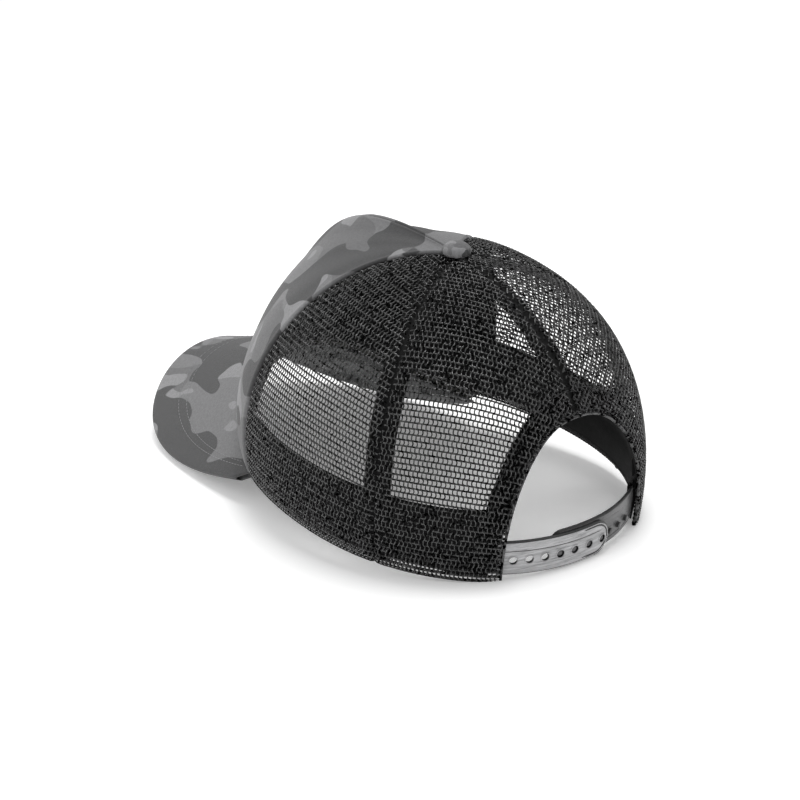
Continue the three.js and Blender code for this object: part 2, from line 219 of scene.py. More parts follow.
def shell(outer, inner):
    """Points and faces of one closed sheet between two grids of points."""
    rows, columns = outer.shape[:2]
    size = rows * columns
    index = np.arange(size).reshape(rows, columns)
    rim = np.concatenate([index[0, :], index[1:, -1], index[-1, -2::-1], index[-2:0:-1, 0]])
    after = np.roll(rim, -1)
    walls = np.stack([rim, rim + size, after + size, after], -1)
    faces = np.concatenate([grid_faces(rows, columns), grid_faces(rows, columns, size)[:, ::-1], walls])
    return np.concatenate([outer.reshape(-1, 3), inner.reshape(-1, 3)]), faces


def layer(degrees, rise, outer, inner):
    """Points and faces of one closed layer between two offsets from the crown's surface."""
    return shell(crown_at(degrees, rise, outer), crown_at(degrees, rise, inner))


def tubes(paths, normals, radii, sides=6, flat=1.0):
    """Bars along many paths of the same number of points, flattened along the normals."""
    count, steps = paths.shape[:2]
    along = unit(np.gradient(paths, axis=1))
    across = unit(np.cross(along, normals))
    out = np.cross(across, along)
    turn = np.arange(sides) * 2 * np.pi / sides
    ring = across[..., None, :] * np.cos(turn)[:, None] + out[..., None, :] * (flat * np.sin(turn)[:, None])
    points = paths[..., None, :] + ring * np.broadcast_to(radii, (count, steps))[..., None, None]
    one = grid_faces(steps, sides, closed=True)
    faces = (one[None] + (np.arange(count) * steps * sides)[:, None, None]).reshape(-1, 4)
    return points.reshape(-1, 3), faces


def joined(parts):
    """Several (points, faces) pairs as one."""
    points, faces, start = [], [], 0
    for part_points, part_faces in parts:
        points.append(part_points)
        faces.extend(np.asarray(part_faces) + start)
        start += len(part_points)
    return np.concatenate(points), faces


def finish_piece(obj, material, body, *nodes, slot=None):
    if material:
        obj.data.materials.append(material)
    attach(obj, body)
    if nodes:
        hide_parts(*nodes)
    return obj


def two_finishes(obj, plain, other, chosen):
    """Gives the chosen faces the other material."""
    obj.data.materials.append(plain)
    obj.data.materials.append(other)
    obj.data.polygons.foreach_set("material_index", np.asarray(chosen, dtype=np.int32))


# ---- materials ------------------------------------------------------------------------------
class Nodes:
    """A short way to wire a material's nodes."""

    def __init__(self, name, roughness, metallic=0.0, specular=0.5, sheen=0.0, coat=0.0):
        self.material = bpy.data.materials.new(name)
        self.material.use_nodes = True
        self.tree = self.material.node_tree
        self.shader = self.tree.nodes["Principled BSDF"]
        self.shader.inputs["Roughness"].default_value = roughness
        self.shader.inputs["Metallic"].default_value = metallic
        self.shader.inputs["Specular IOR Level"].default_value = specular
        self.shader.inputs["Sheen Weight"].default_value = sheen
        self.shader.inputs["Coat Weight"].default_value = coat
        self.place = self.add("ShaderNodeTexCoord").outputs["Object"]

    def add(self, kind, **settings):
        node = self.tree.nodes.new(kind)
        for key, value in settings.items():
            setattr(node, key, value)
        return node

    def link(self, source, target):
        self.tree.links.new(source, target)

    def scaled(self, scale, rotation=(0, 0, 0), source=None):
        node = self.add("ShaderNodeMapping")
        node.inputs["Scale"].default_value = scale
        node.inputs["Rotation"].default_value = rotation
        self.link(source or self.place, node.inputs["Vector"])
        return node.outputs["Vector"]

    def noise(self, scale, detail=2.0, source=None, roughness=0.5, output="Fac"):
        node = self.add("ShaderNodeTexNoise")
        node.inputs["Scale"].default_value = scale
        node.inputs["Detail"].default_value = detail
        node.inputs["Roughness"].default_value = roughness
        self.link(source or self.place, node.inputs["Vector"])
        return node.outputs[output]

    def wave(self, scale, source, distortion=0.0):
        node = self.add("ShaderNodeTexWave")
        node.inputs["Scale"].default_value = scale
        node.inputs["Distortion"].default_value = distortion
        self.link(source, node.inputs["Vector"])
        return node.outputs["Fac"]

    def ramp(self, source, stops, interpolation="LINEAR"):
        node = self.add("ShaderNodeValToRGB")
        node.color_ramp.interpolation = interpolation
        while len(node.color_ramp.elements) < len(stops):
            node.color_ramp.elements.new(0.5)
        for element, (position, grey) in zip(node.color_ramp.elements, stops):
            element.position = position
            element.color = (*((grey,) * 3 if isinstance(grey, float) else grey), 1.0)
        self.link(source, node.inputs["Fac"])
        return node.outputs["Color"]

    def mix(self, factor, a, b, blend="MIX"):
        node = self.add("ShaderNodeMix", data_type="RGBA", blend_type=blend)
        for key, value in (("Factor", factor), ("A", a), ("B", b)):
            socket = next(s for s in node.inputs if s.name == key and s.enabled)
            if isinstance(value, bpy.types.NodeSocket):
                self.link(value, socket)
            else:
                socket.default_value = value
        return next(s for s in node.outputs if s.enabled)

    def maths(self, operation, a, b):
        node = self.add("ShaderNodeMath", operation=operation)
        for socket, value in zip(node.inputs, (a, b)):
            if isinstance(value, bpy.types.NodeSocket):
                self.link(value, socket)
            else:
                socket.default_value = value
        return node.outputs[0]

    def colour(self, source):
        self.link(source, self.shader.inputs["Base Color"])

    def roughness(self, source):
        self.link(source, self.shader.inputs["Roughness"])

    def bump(self, height, strength, distance):
        node = self.add("ShaderNodeBump")
        node.inputs["Strength"].default_value = strength
        node.inputs["Distance"].default_value = distance
        self.link(height, node.inputs["Height"])
        self.link(node.outputs["Normal"], self.shader.inputs["Normal"])


def weave(nodes, threads_per_metre, rotation):
    """Height of a plain weave: two crossed sets of threads."""
    scale = (threads_per_metre,) * 3
    crossed = (rotation[0] + 1.57, rotation[1] + 0.4, rotation[2] + 1.57)
    warp = nodes.wave(1.0, nodes.scaled(scale, rotation), 0.3)
    weft = nodes.wave(1.0, nodes.scaled(scale, crossed), 0.3)
    return nodes.maths("MULTIPLY", warp, weft)


CAMO_LIGHT, CAMO_MID, CAMO_DUSK, CAMO_DARK = 0.25, 0.175, 0.135, 0.062


def camo_material(name, stretch, rotation, seed):
    """Grey camouflage print on a matt woven cloth."""
    nodes = Nodes(name, roughness=0.88, specular=0.25, sheen=0.15)
    place = nodes.scaled(stretch, rotation)
    moved = nodes.add("ShaderNodeVectorMath", operation="ADD")
    nodes.link(place, moved.inputs[0])
    moved.inputs[1].default_value = seed
    drift = nodes.noise(1.5, 1.0, moved.outputs[0], output="Color")
    bent = nodes.mix(0.35, moved.outputs[0], drift, "ADD")
    spots = [nodes.scaled((k,) * 3, (0.3 * k, 0.7, k), bent) for k in (0.95, 1.15, 0.8)]
    shapes = [nodes.noise(1.0, 1.0, spot) for spot in spots]

    def patch(source, level, edge=0.004):
        return nodes.ramp(source, [(level, 0.0), (level + edge, 1.0)])

    print_colour = nodes.mix(patch(shapes[2], 0.52), grey(CAMO_MID), grey(CAMO_DUSK))
    print_colour = nodes.mix(patch(shapes[1], 0.57), print_colour, grey(CAMO_LIGHT))
    print_colour = nodes.mix(patch(shapes[0], 0.535), print_colour, grey(CAMO_DARK))
    threads = weave(nodes, 1800.0, (0.2, 0.1, 0.78))
    fleck = nodes.ramp(nodes.noise(900.0, 3.0), [(0.3, 0.86), (0.7, 1.1)])
    print_colour = nodes.mix(1.0, print_colour, fleck, "MULTIPLY")
    nodes.colour(print_colour)
    nodes.bump(threads, 0.35, 0.0002)
    return nodes.material


def grey(value):
    return (value, value, value * 1.02, 1.0)


def net_material(name, gleam_from, gleam_to, gleam_size):
    """Black polyester yarn; only some of its filaments catch the light."""
    nodes = Nodes(name, roughness=0.27)
    filaments = nodes.noise(gleam_size, 2.0)
    nodes.colour(nodes.ramp(filaments, [(gleam_from, grey(0.0006)[:3]), (gleam_to, grey(0.024)[:3])]))
    gleam = nodes.ramp(filaments, [(gleam_from, 0.0), (gleam_to, 1.0)])
    nodes.link(gleam, nodes.shader.inputs["Specular IOR Level"])
    nodes.bump(nodes.noise(2600.0, 2.0), 0.3, 0.0002)
    return nodes.material


def cloth_material(name, low, high, threads, roughness=0.9, bump=0.4):
    """Plain dark woven cloth or tape."""
    nodes = Nodes(name, roughness=roughness, specular=0.3, sheen=0.05)
    nodes.colour(nodes.ramp(nodes.noise(500.0, 3.0), [(0.3, grey(low)[:3]), (0.7, grey(high)[:3])]))
    nodes.bump(weave(nodes, threads, (0.3, 0.5, 0.78)), bump, 0.0002)
    return nodes.material


def strap_material(name, low, high):
    """Grey moulded plastic with fine drawn marks along it."""
    nodes = Nodes(name, roughness=0.3, specular=0.6)
    streaks = nodes.noise(90.0, 6.0, nodes.scaled((1.0, 1.0, 14.0)), roughness=0.8)
    nodes.colour(nodes.ramp(streaks, [(0.32, grey(low)[:3]), (0.68, grey(high)[:3])]))
    nodes.roughness(nodes.ramp(streaks, [(0.3, 0.22), (0.7, 0.45)]))
    nodes.bump(streaks, 0.3, 0.0004)
    return nodes.material


def steel_material():
    nodes = Nodes("black_lacquered_steel", roughness=0.35, metallic=0.4)
    nodes.colour(nodes.ramp(nodes.noise(300.0, 3.0), [(0.3, grey(0.012)[:3]), (0.7, grey(0.03)[:3])]))
    nodes.bump(nodes.noise(900.0, 2.0), 0.1, 0.0002)
    return nodes.material


def board_material():
    nodes = Nodes("visor_board", roughness=0.6)
    nodes.colour(nodes.ramp(nodes.noise(200.0, 3.0), [(0.3, (0.09, 0.09, 0.085)), (0.7, (0.13, 0.13, 0.12))]))
    nodes.bump(nodes.noise(600.0, 2.0), 0.2, 0.0003)
    return nodes.material


def label_material():
    nodes = Nodes("white_satin", roughness=0.45, specular=0.5, sheen=0.2)
    nodes.colour(nodes.ramp(nodes.noise(400.0, 2.0), [(0.3, (0.7, 0.69, 0.66)), (0.7, (0.82, 0.81, 0.78))]))
    nodes.bump(weave(nodes, 3000.0, (0.1, 0.2, 0.78)), 0.2, 0.0001)
    return nodes.material


CAMO_FRONT = camo_material("camo_front", (34.0, 34.0, 34.0), (0.5, 0.3, 0.2), (3.1, 1.7, 0.4))
CAMO_VISOR = camo_material("camo_visor", (46.0, 19.0, 40.0), (0.0, 0.2, 0.5), (7.3, 2.9, 5.1))
CAMO_UNDER = camo_material("camo_under", (38.0, 26.0, 38.0), (0.2, 0.1, 1.2), (1.3, 8.9, 2.1))
CAMO_BUTTON = camo_material("camo_button", (120.0, 120.0, 120.0), (0.9, 0.1, 0.4), (5.6, 3.3, 7.7))
BAR = net_material("black_net_bars", 0.41, 0.6, 500.0)
YARN = net_material("black_net_yarn", 0.36, 0.55, 450.0)
TAPE = cloth_material("black_tape", 0.003, 0.009, 1600.0)
COTTON = cloth_material("black_cotton", 0.004, 0.01, 1900.0, bump=0.3)
BUCKRAM = cloth_material("black_buckram", 0.005, 0.012, 900.0, bump=0.6)
GREY_THREAD = cloth_material("grey_thread", 0.22, 0.28, 4000.0, roughness=0.6, bump=0.2)
BLACK_THREAD = cloth_material("black_thread", 0.012, 0.03, 4000.0, roughness=0.5, bump=0.2)
# Lit copy of the strap plastic: the hole strap is painted lighter than the peg strap, a painted highlight
# from the lights.
HOLE_STRAP_PAINTED_LIGHT = strap_material("strap_plastic", 0.2, 0.62)
# Shaded copy of the same plastic: the peg strap is painted darker, a painted shade.
PEG_STRAP_PAINTED_SHADE = strap_material("strap_plastic_painted_shade", 0.05, 0.15)
# Near-black copy of the plastic: painted shade in the grooves, along the edges, in the holes and on the peg
# shanks.
STRAP_PAINTED_SHADE = strap_material("strap_painted_shade", 0.012, 0.04)
STEEL = steel_material()
BOARD = board_material()
LABEL = label_material()


# ---- rear opening ---------------------------------------------------------------------------
def opening_edge(along, grow=0.0):
    """Degrees and height of the arched edge, from one foot at 0 over the top at 1 to the other at 2."""
    along = np.asarray(along, float)
    a = np.pi / 2 * np.where(along > 1, 2 - along, along)
    across = OPENING_HALF_WIDTH * signed_power(np.cos(a), 2 / OPENING_POWER)
    height = OPENING_HEIGHT * signed_power(np.sin(a), 2 / OPENING_POWER)
    outward = unit(np.stack([np.cos(a) / OPENING_HALF_WIDTH, np.sin(a) / OPENING_HEIGHT], -1)) * grow
    offset = (across + outward[..., 0]) / MM_PER_DEGREE
    degrees = 180 + np.where(along > 1, offset, -offset)
    return degrees, height + outward[..., 1]


def outside_opening(degrees, height):
    """Roughly how far a place is outside the rear opening, in millimetres; negative is inside."""
    across = np.abs(180.0 - np.where(degrees < 0, degrees + 360, degrees)) * MM_PER_DEGREE
    power = OPENING_POWER
    level = (across / OPENING_HALF_WIDTH) ** power + (np.maximum(height, 0) / OPENING_HEIGHT) ** power
    slope_a = power * (across / OPENING_HALF_WIDTH) ** (power - 1) / OPENING_HALF_WIDTH
    slope_h = power * (np.maximum(height, 0) / OPENING_HEIGHT) ** (power - 1) / OPENING_HEIGHT
    return (level - 1) / np.maximum(np.hypot(slope_a, slope_h), 0.008)


# ---- net panels -----------------------------------------------------------------------------
ROW_PITCH, COLUMN_PITCH = 2.46, 1.88
BAR_RADIUS, YARN_RADIUS = 0.42, 0.30
BAR_FLATNESS, YARN_FLATNESS = 0.6, 0.8
SWAY = 0.23                          # of a column pitch, each way
SIDE_GRAIN, BACK_GRAIN = 88.0, 125.0  # degrees round at which the cloth's yarns run straight up
FOLD = 11.0                          # height of the doubled net along a hem
RISE_TABLE = np.linspace(0, 1, 90)


class Gore:
    """One net panel. Rows run straight across the cloth, square to the panel's centre line."""

    def __init__(self, side, seam_a, seam_b, grain):
        self.side, self.seam_a, self.seam_b = side, seam_a, seam_b
        self.centre = grain
        self.length = self.arc_table(np.array([self.centre]))[0, -1]

    def arc_table(self, degrees):
        points = crown_point(degrees[:, None], RISE_TABLE[None, :])
        steps = np.linalg.norm(np.diff(points, axis=1), axis=-1)
        return np.concatenate([np.zeros((len(degrees), 1)), np.cumsum(steps, axis=1)], axis=1)

    def row(self, distance):
        """Degrees, rise and distance from the centre line along the row at a height up the cloth."""
        degrees = np.linspace(self.seam_a(0.0) - 8, self.seam_b(0.0) + 8, 181)
        turn = np.radians(degrees - self.centre)
        up = min(distance / self.length, 0.985) * math.pi / 2
        share = np.arctan(math.tan(up) * np.cos(turn)) * 2 / np.pi
        table = self.arc_table(degrees)
        rise = np.array([np.interp(s * t[-1], t, RISE_TABLE) for s, t in zip(share, table)])
        points = crown_point(degrees, rise)
        steps = np.concatenate([[0], np.cumsum(np.linalg.norm(np.diff(points, axis=0), axis=-1))])
        return degrees, rise, steps - np.interp(self.centre, degrees, steps)

    def kept(self, degrees, rise, grow):
        """Whether each place is on the panel, grow millimetres or more inside its edges."""
        metric = mm_per_degree(degrees, rise)
        inside = (degrees - self.seam_a(rise)) * metric > 0.3
        inside &= (self.seam_b(rise) - degrees) * metric > 0.3
        inside &= np.hypot(*(crown_point(degrees, rise)[..., k] - (0, BUTTON_Y)[k] for k in (0, 1))) > 3.4
        height = crown_point(degrees, rise)[..., 2]
        return inside & (outside_opening(degrees, height) > grow)


def runs(mask):
    """Start and end of each unbroken stretch of True."""
    edges = np.flatnonzero(np.diff(np.concatenate([[0], mask.astype(int), [0]])))
    return edges.reshape(-1, 2)


def net_offset(gore, degrees, rise):
    """Cloth turns inwards where it meets a seam."""
    metric = mm_per_degree(degrees, rise)
    edge = np.minimum(degrees - gore.seam_a(rise), gore.seam_b(rise) - degrees) * metric
    return -0.7 * np.exp(-((np.maximum(edge, 0) / 1.3) ** 2))


def net_layer(gore, depth, wanted):
    """Bars, and the yarns between them, of one layer of net, depth millimetres in."""
    rows = []
    for j in range(int(gore.length / ROW_PITCH)):
        distance = 0.5 + j * ROW_PITCH
        degrees, rise, x = gore.row(distance)
        rows.append((degrees, rise, x, gore.kept(degrees, rise, 0.4) & wanted(degrees, rise)))
    parts = []
    for degrees, rise, x, mask in rows:
        for start, end in runs(mask):
            span = x[end - 1] - x[start]
            if span < 1.5:
                continue
            along = np.linspace(x[start], x[end - 1], max(4, int(span / COLUMN_PITCH * 4)))
            d, r = np.interp(along, x, degrees), np.interp(along, x, rise)
            lumps = np.cos(along / COLUMN_PITCH * 2 * np.pi)
            offset = net_offset(gore, d, r) - depth - 0.12 * lumps
            radius = BAR_RADIUS * (1 + 0.12 * lumps)
            parts.append(bar(gore, d, r, offset, radius))
    return joined(parts), yarns(gore, rows, depth)


def bar(gore, degrees, rise, offset, radius):
    path = crown_at(gore.side * degrees, rise, offset)[None]
    return tubes(path, crown_normal(gore.side * degrees, rise)[None], radius, 5, BAR_FLATNESS)


def yarns(gore, rows, depth):
    """The upright yarns from row to row, swaying to the left and the right of the line in turn."""
    climb = np.array([0.0, 0.12, 0.3, 0.5, 0.7, 0.88, 1.0])
    sway = np.sin(np.pi * climb) ** 0.6
    paths, normals = [], []
    for j in range(len(rows) - 1):
        (d0, r0, x0, m0), (d1, r1, x1, m1) = rows[j], rows[j + 1]
        lean = SWAY * COLUMN_PITCH * (1 if j % 2 else -1)
        reach = int(max(x0[-1], -x0[0]) / COLUMN_PITCH) + 1
        columns = np.arange(-reach, reach + 1) * COLUMN_PITCH
        kept_below = np.interp(columns, x0, m0.astype(float)) > 0.99
        kept_above = np.interp(columns, x1, m1.astype(float)) > 0.99
        columns = columns[kept_below & kept_above][:, None]
        if not len(columns):
            continue
        across = columns + lean * sway
        degrees = np.interp(across, x0, d0) * (1 - climb) + np.interp(across, x1, d1) * climb
        rise = np.interp(across, x0, r0) * (1 - climb) + np.interp(across, x1, r1) * climb
        over = 0.22 * np.cos(climb * 2 * np.pi)
        offset = net_offset(gore, degrees, rise) - depth + over
        paths.append(crown_at(gore.side * degrees, rise, offset))
        normals.append(crown_normal(gore.side * degrees, rise))
    return tubes(np.concatenate(paths), np.concatenate(normals), YARN_RADIUS, 5, YARN_FLATNESS)


def net_panel(name, node, gore):
    def everywhere(degrees, rise):
        return np.ones_like(degrees, bool)

    def hem(degrees, rise):
        height = crown_point(degrees, rise)[..., 2]
        return (height < FOLD) | (outside_opening(degrees, height) < FOLD)

    bars, yarn = zip(net_layer(gore, 0.5, everywhere), net_layer(gore, 1.5, hem))
    bar_points, bar_faces = joined(bars)
    yarn_points, yarn_faces = joined(yarn)
    obj = make_mesh(name, *joined([(bar_points, bar_faces), (yarn_points, yarn_faces)]))
    two_finishes(obj, BAR, YARN, np.repeat([0, 1], [len(bar_faces), len(yarn_faces)]))
    finish_piece(obj, None, "cap", node, slot="black_mesh")


def build_nets():
    for side, word in ((1, "left"), (-1, "right")):
        side_gore = Gore(side, front_seam, side_seam, SIDE_GRAIN)
        back_gore = Gore(side, side_seam, back_seam, BACK_GRAIN)
        net_panel(f"net_side_{word}", f"side_mesh_{word}", side_gore)
        net_panel(f"net_back_{word}", f"back_mesh_{word}", back_gore)


# ---- stitches -------------------------------------------------------------------------------
def stitch_row(points, normals, length=2.4, gap=0.7, radius=0.2):
    """Small slanted stitches laid along a line on a surface."""
    steps = np.concatenate([[0], np.cumsum(np.linalg.norm(np.diff(points, axis=0), axis=-1))])
    count = max(1, int(steps[-1] / (length + gap)))
    starts = np.arange(count) * (steps[-1] / count)
    share = np.linspace(0, 1, 5)
    where = starts[:, None] + share * length
    paths = np.stack([np.interp(where, steps, points[:, k]) for k in range(3)], -1)
    out = unit(np.stack([np.interp(where, steps, normals[:, k]) for k in range(3)], -1))
    paths = paths + out * (0.75 * radius * np.sin(np.pi * share)[None, :, None] - 0.3 * radius)
    width = radius * np.array([0.35, 0.9, 1.0, 0.9, 0.35])
    return tubes(paths, out, width)


def stitches(name, rows, material, **sizes):
    obj = make_mesh(name, *joined([stitch_row(p, n, **sizes) for p, n in rows]))
    return finish_piece(obj, material, "cap")


# ---- printed front --------------------------------------------------------------------------
FRONT_THICKNESS = 1.1
LINING_OUTER, LINING_INNER = -1.8, -2.6
LINING_MARGIN, LINING_TOP = 7.0, 19.0
DART_START = 0.63                    # rise of the crest, where the dart begins


def front_panel():
    rows, columns = 170, 201
    v, u = np.meshgrid(np.linspace(0, 1, rows), signed_power(np.linspace(-1, 1, columns), 1.5), indexing="ij")
    top = rise_at_radius(u * SEAM_FRONT, APEX_HOLE)
    rise = v * top
    degrees = u * front_seam(rise)
    metric = mm_per_degree(degrees, rise)
    degrees = degrees - np.sign(u) * np.minimum(0.2 / metric, np.abs(degrees))
    edge = (front_seam(rise) - np.abs(degrees)) * metric
    offset = 0.25 * np.exp(-(((edge - 1.3) / 0.7) ** 2)) - 1.0 * np.exp(-((edge / 0.5) ** 2))
    foot = rise / 0.012
    offset = offset - 0.5 * np.exp(-(foot**2))
    from_dart = np.abs(degrees) * metric
    open_dart = smoothstep(DART_START, DART_START + 0.06, rise)
    offset = offset - open_dart * 1.0 * np.exp(-((from_dart / 0.55) ** 2))
    offset = offset + open_dart * 0.4 * np.exp(-(((from_dart - 2.2) / 1.4) ** 2))
    obj = make_mesh("front_panel_cloth", *layer(degrees, rise, offset, offset - FRONT_THICKNESS))
    finish_piece(obj, CAMO_FRONT, "cap", "front_panel", slot="camo_fabric")
    rise = np.linspace(DART_START + 0.03, 0.97, 80)
    seam = crown_at(0 * rise, rise, -0.6)
    obj = make_mesh("dart_seam", *tubes(seam[None], crown_normal(0 * rise, rise)[None], 0.42, 8))
    finish_piece(obj, BLACK_THREAD, "cap")


def buckram():
    low, high = float(rise_at_height(0.0, 1.0)), float(rise_at_radius(0.0, LINING_TOP))
    rise = np.linspace(low, high, 60)[:, None]
    margin = LINING_MARGIN / mm_per_degree(np.array(SEAM_FRONT), rise)
    degrees = (front_seam(rise) - margin) * np.linspace(-1, 1, 80)[None, :]
    rise = np.broadcast_to(rise, degrees.shape)
    obj = make_mesh("front_lining", *layer(degrees, rise, LINING_OUTER, LINING_INNER))
    finish_piece(obj, BUCKRAM, "cap", "front_buckram", slot="buckram")


# ---- tapes ----------------------------------------------------------------------------------
TAPE_WIDTH = 13.0
TAPE_OFFSET = -1.95                  # the face against the net, from the crown's surface


def tape_places(centre, low_height, rows=70, columns=9):
    low = float(rise_at_height(centre(0.0), low_height))
    high = float(rise_at_radius(centre(1.0), 5.5))
    rise = np.linspace(low, high, rows)[:, None]
    middle = crown_point(centre(rise), rise)
    radius = np.hypot(middle[..., 0], middle[..., 1] - BUTTON_Y)
    half = np.minimum(TAPE_WIDTH / 2, 0.42 * radius) / mm_per_degree(centre(rise), rise)
    degrees = centre(rise) + half * np.linspace(-1, 1, columns)[None, :]
    return degrees, np.broadcast_to(rise, degrees.shape)


def seam_tape(name, node, centre, low_height):
    degrees, rise = tape_places(centre, low_height)
    across = np.abs(np.linspace(-1, 1, degrees.shape[1]))[None, :]
    offset = TAPE_OFFSET - 0.35 * across**6 + 0 * rise
    obj = make_mesh(name, *layer(degrees, rise, offset, offset - 0.5))
    finish_piece(obj, TAPE, "cap", node, slot="black_tape")
    lines = []
    for share in (-0.8, 0.8):
        line = degrees[:, 4] + (degrees[:, -1] - degrees[:, 4]) * share
        lines.append((crown_at(line, rise[:, 0], -2.5), -crown_normal(line, rise[:, 0])))
    stitches(f"{name}_stitches", lines, BLACK_THREAD)


def opening_tape():
    along = np.linspace(0.003, 1.997, 140)
    grows = np.linspace(0.6, 11.0, 7)
    places = [opening_edge(along, grow) for grow in grows]
    degrees = np.stack([place[0] for place in places])
    height = np.stack([place[1] for place in places])
    rise = rise_at_height(degrees, height)
    behind_strap = 3.8 * smoothstep(26.0, 20.0, height)
    offset = TAPE_OFFSET - behind_strap
    obj = make_mesh("opening_tape_cloth", *layer(degrees, rise, offset, offset - 0.55))
    finish_piece(obj, TAPE, "cap", "opening_tape", slot="black_tape")
    along = np.linspace(0.26, 1.74, 120)
    lines = []
    for grow, depth, way in ((1.8, -2.5, -1), (9.8, -2.5, -1), (1.8, 0.1, 1), (9.8, 0.1, 1)):
        degrees, height = opening_edge(along, grow)
        rise = rise_at_height(degrees, height)
        lines.append((crown_at(degrees, rise, depth), way * crown_normal(degrees, rise)))
    stitches("opening_stitches", lines, BLACK_THREAD)


def opening_rim():
    """The folded edge of the net round the rear opening."""
    along = np.linspace(0.0, 2.0, 420)
    degrees, height = opening_edge(along, 0.35)
    rise = rise_at_height(degrees, height)
    lumps = np.cos(np.arange(len(along)) * 1.9)
    corner = np.where(degrees > 180, smoothstep(26.0, 18.0, height), 0.0)
    path = crown_at(degrees, rise, -1.0 - 0.1 * lumps - 0.5 * corner)
    radius = 0.62 + 0.08 * lumps + 0.4 * corner
    obj = make_mesh("opening_fold", *tubes(path[None], crown_normal(degrees, rise)[None], radius, 8))
    finish_piece(obj, BAR, "cap")


# ---- sweatband ------------------------------------------------------------------------------
BAND_END = CORNER - 3.8
BAND_LOOP = [                        # offset and height of the folded band's cross-section
    (-3.5, 2.7), (-3.3, 6.0), (-3.3, 14.0), (-3.3, 24.0), (-3.4, 29.0), (-3.7, 31.4),
    (-4.3, 32.3), (-5.0, 31.2), (-5.4, 28.5), (-5.5, 25.0), (-5.2, 21.2), (-4.75, 19.6),
    (-5.25, 18.0), (-5.5, 14.0), (-5.3, 9.0), (-4.8, 5.1), (-4.3, 2.9), (-3.9, 2.3),
]


def sweatband():
    """A folded cotton band: a closed loop of cloth run round the inside of the base."""
    loop = np.array(BAND_LOOP)
    degrees = np.linspace(-BAND_END, BAND_END, 300)
    grid = np.empty((len(degrees), len(loop), 3))
    for k, (offset, height) in enumerate(loop):
        ripple = np.array([noise.noise(Vector((d * 0.09, height * 0.05, 3.0))) for d in degrees])
        inner = 1.0 if offset < -4.2 else 0.0
        tuck = 1.9 * smoothstep(8.0, 3.0, height) * smoothstep(130.0, 139.0, np.abs(degrees))
        rise = rise_at_height(degrees, height + 0.4 * ripple - tuck)
        grid[:, k] = crown_at(degrees, rise, offset + 0.5 * inner * ripple)
    faces = list(grid_faces(len(degrees), len(loop), closed=True))
    faces.append(np.arange(len(loop))[::-1])
    faces.append(np.arange(len(loop)) + (len(degrees) - 1) * len(loop))
    obj = make_mesh("sweatband_cotton", grid.reshape(-1, 3), faces)
    finish_piece(obj, COTTON, "cap", "sweatband", slot="black_cotton")
    lines = []
    for height, offset in ((4.0, -4.75), (30.0, -5.35)):
        rise = rise_at_height(degrees, height)
        lines.append((crown_at(degrees, rise, offset), -crown_normal(degrees, rise)))
    stitches("sweatband_stitches", lines, BLACK_THREAD)


def care_label():
    heights = np.linspace(6, 30, 14)[:, None]
    degrees = np.linspace(122, 104, 16)[None, :] + 0 * heights
    rise = rise_at_height(degrees, heights + 0 * degrees)
    curl = 0.5 * np.exp(-(((heights - 6) / 5) ** 2)) + 0 * degrees
    obj = make_mesh("care_label_satin", *layer(degrees, rise, -5.75 - curl, -6.0 - curl))
    finish_piece(obj, LABEL, "cap", "care_label", slot="white_satin")


# ---- button ---------------------------------------------------------------------------------
def button():
    rings, around = 22, 64
    s = np.linspace(0, 1, rings)[:, None] * np.pi / 2
    turn = np.linspace(0, 2 * np.pi, around, endpoint=False)[None, :]
    radius = 6.2 * np.cos(s) ** 0.85
    tuck = 0.25 * np.cos(turn * 11) * np.cos(s) ** 6
    radius = radius * (1 + 0.012 * np.cos(turn * 7)) - tuck
    z = CROWN_HEIGHT + 0.5 + 4.5 * np.sin(s) ** 0.9 + 0 * turn
    x, y = radius * np.cos(turn), BUTTON_Y + radius * np.sin(turn)
    outer = np.stack([x, y, z], -1)
    under = outer[0] * 1.0
    under[:, 2] = CROWN_HEIGHT - 0.4
    under[:, :2] = (under[:, :2] - (0, BUTTON_Y)) * 0.86 + (0, BUTTON_Y)
    grid = np.concatenate([under[None], outer])
    faces = list(grid_faces(rings + 1, around, closed=True))
    faces.append(np.arange(around)[::-1])
    faces.append(np.arange(around) + rings * around)
    obj = make_mesh("button_cloth", grid.reshape(-1, 3), faces)
    finish_piece(obj, CAMO_BUTTON, "cap", "button_cover", slot="camo_fabric")


# ---- visor ----------------------------------------------------------------------------------
VISOR_TOP, VISOR_BOTTOM = 0.5, 4.7
RIM_RADIUS = (VISOR_BOTTOM - VISOR_TOP) / 2


def visor_point(across, out, drop):
    """A point of the visor: across -1 to 1, out 0 at the crown to 1 at the rim, drop below the sheet."""
    across, out = np.broadcast_arrays(across, out)
    root_x, root_y = base_xy(across * SEAM_FRONT)
    a = across * np.pi / 2
    rim_x = (JUNCTION_X + VISOR_FLARE) * signed_power(np.sin(a), 2 / VISOR_POWER)
    rim_reach = BASE_FRONT + VISOR_REACH + JUNCTION_Y
    rim_y = JUNCTION_Y - rim_reach * np.abs(np.cos(a)) ** (2 / VISOR_POWER)
    x, y = root_x + (rim_x - root_x) * out, root_y + (rim_y - root_y) * out
    fall = VISOR_WING_SLOPE * x / np.hypot(x, VISOR_STRAIGHT)
    normal = unit(np.stack([fall, np.full_like(fall, -VISOR_SLOPE), np.ones_like(fall)], -1))
    point = np.stack([x, y, sheet_height(x, y)], -1)
    return point - normal * np.asarray(drop, float)[..., None], normal


def visor_length(across):
    """Length of the visor from the crown to the rim at each place across."""
    rim = visor_point(across, 1.0, 0 * across)[0]
    root = visor_point(across, 0.0, 0 * across)[0]
    return np.linalg.norm(rim - root, axis=-1)


